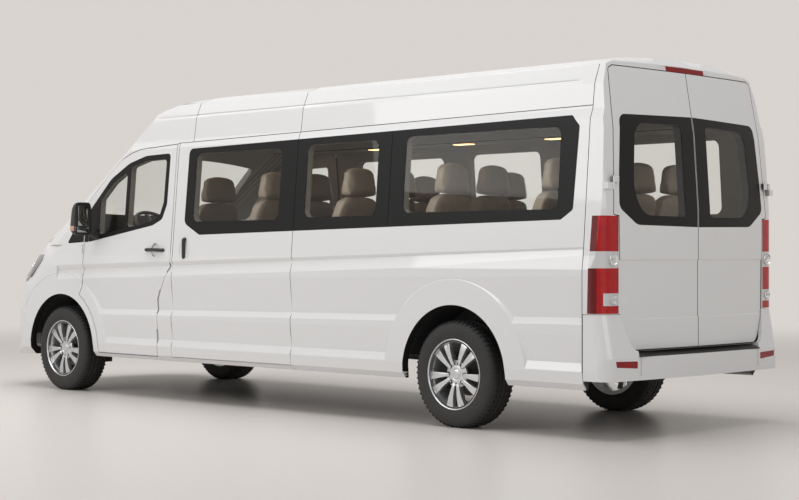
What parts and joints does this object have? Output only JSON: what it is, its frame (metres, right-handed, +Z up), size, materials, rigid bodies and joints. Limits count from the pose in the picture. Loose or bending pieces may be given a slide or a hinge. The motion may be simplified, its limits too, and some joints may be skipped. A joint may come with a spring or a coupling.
{
  "type": "minibus",
  "caption": "Long high-roof passenger minibus with glazed sides, paired tail doors, hinged cab doors and bonnet, seats and steered, rolling wheels.",
  "frame": {"origin": "on the ground, at the middle of the bodywork's length and width", "axes": "+X forward, +Y to the vehicle's left, +Z up"},
  "size_m": [6.885, 2.476, 2.439],
  "materials": {
    "body_paint": "white gloss paint",
    "black_gloss": "gloss black",
    "black_plastic": "satin black",
    "dark_plastic": "satin dark grey",
    "glass": "clear",
    "clear_lens": "clear lens",
    "red_lens": "gloss red",
    "mirror": "mirror",
    "leather": "soft brown",
    "floor_vinyl": "matt",
    "chassis_steel": "satin black",
    "tyre": "matt",
    "alloy": "satin silver"
  },
  "bodies": {
    "body": {"bulkhead": "chassis_steel", "cab_seats": "leather", "cabin_seats": "leather", "chassis": "chassis_steel", "corner_posts": "body_paint", "cowl_strip": "black_plastic", "dashboard": "dark_plastic", "engine": "chassis_steel", "floor": "floor_vinyl", "front_axle": "chassis_steel", "front_bumper": "body_paint", "front_wings": "body_paint", "fuel_tank": "chassis_steel", "grille": "black_plastic", "headlamps": "clear_lens", "leaf_springs": "chassis_steel", "rear_axle": "chassis_steel", "rear_bumper": "body_paint", "rear_lamps_clear": "clear_lens", "rear_lamps_red": "red_lens", "rear_step": "black_plastic", "roof": "body_paint", "seat_legs": "chassis_steel", "side_glass": "glass", "side_left": "body_paint", "side_right": "body_paint", "slide_door_left": "body_paint", "slide_door_right": "body_paint", "slide_handles": "black_plastic", "wheel_housings": "black_plastic", "window_frames": "black_gloss", "windscreen": "glass"},
    "cab_door_left": {"front_door_left": "body_paint", "door_trim_left": "black_gloss", "door_glass_left": "glass", "mirror_face_left": "mirror"},
    "tail_door_left": {"rear_door_left": "body_paint", "rear_frame_left": "black_gloss", "rear_glass_left": "glass"},
    "upright_left": {"knuckle_left": "chassis_steel"},
    "wheel_front_left": {"front_left_tyre": "tyre", "front_left_rim": "alloy"},
    "wheel_rear_left": {"rear_left_tyre": "tyre", "rear_left_rim": "alloy"},
    "cab_door_right": {"front_door_right": "body_paint", "door_trim_right": "black_gloss", "door_glass_right": "glass", "mirror_face_right": "mirror"},
    "tail_door_right": {"rear_door_right": "body_paint", "rear_frame_right": "black_gloss", "rear_glass_right": "glass"},
    "upright_right": {"knuckle_right": "chassis_steel"},
    "wheel_front_right": {"front_right_tyre": "tyre", "front_right_rim": "alloy"},
    "wheel_rear_right": {"rear_right_tyre": "tyre", "rear_right_rim": "alloy"},
    "bonnet_lid": {"bonnet": "body_paint"},
    "steering": {"steering_wheel": "dark_plastic"}
  },
  "joints": [
    {"name": "cab_door_left_swing", "type": "hinge", "parent": "body", "child": "cab_door_left", "pos_m": [2.1155, 0.996, 1.1], "axis": [0, 0, -1], "range_deg": [0, 70]},
    {"name": "tail_door_left_swing", "type": "hinge", "parent": "body", "child": "tail_door_left", "pos_m": [-3.3695, 0.885, 1.45], "axis": [0, 0, -1], "range_deg": [0, 180]},
    {"name": "steer_left", "type": "hinge", "parent": "body", "child": "upright_left", "pos_m": [2.4275, 0.8, 0.357], "axis": [0, 0, 1], "range_deg": [-35, 35]},
    {"name": "wheel_front_left_spin", "type": "hinge", "parent": "upright_left", "child": "wheel_front_left", "pos_m": [2.4275, 0.864, 0.357], "axis": [0, 1, 0], "continuous": true},
    {"name": "wheel_rear_left_spin", "type": "hinge", "parent": "body", "child": "wheel_rear_left", "pos_m": [-2.1075, 0.864, 0.357], "axis": [0, 1, 0], "continuous": true},
    {"name": "cab_door_right_swing", "type": "hinge", "parent": "body", "child": "cab_door_right", "pos_m": [2.1155, -0.996, 1.1], "axis": [0, 0, 1], "range_deg": [0, 70]},
    {"name": "tail_door_right_swing", "type": "hinge", "parent": "body", "child": "tail_door_right", "pos_m": [-3.3695, -0.885, 1.45], "axis": [0, 0, 1], "range_deg": [0, 180]},
    {"name": "steer_right", "type": "hinge", "parent": "body", "child": "upright_right", "pos_m": [2.4275, -0.8, 0.357], "axis": [0, 0, 1], "range_deg": [-35, 35]},
    {"name": "wheel_front_right_spin", "type": "hinge", "parent": "upright_right", "child": "wheel_front_right", "pos_m": [2.4275, -0.864, 0.357], "axis": [0, 1, 0], "continuous": true},
    {"name": "wheel_rear_right_spin", "type": "hinge", "parent": "body", "child": "wheel_rear_right", "pos_m": [-2.1075, -0.864, 0.357], "axis": [0, 1, 0], "continuous": true},
    {"name": "bonnet_lift", "type": "hinge", "parent": "body", "child": "bonnet_lid", "pos_m": [2.9595, 0, 1.338], "axis": [0, -1, 0], "range_deg": [0, 55]},
    {"name": "steering_wheel_turn", "type": "hinge", "parent": "body", "child": "steering", "pos_m": [1.8775, 0.4, 1.4], "axis": [-0.6428, 0, 0.766], "range_deg": [-540, 540]}
  ],
  "couplings": [
    {"joint": "steer_right", "follows": "steer_left", "ratio": 1},
    {"joint": "steering_wheel_turn", "follows": "steer_left", "ratio": 15}
  ]
}
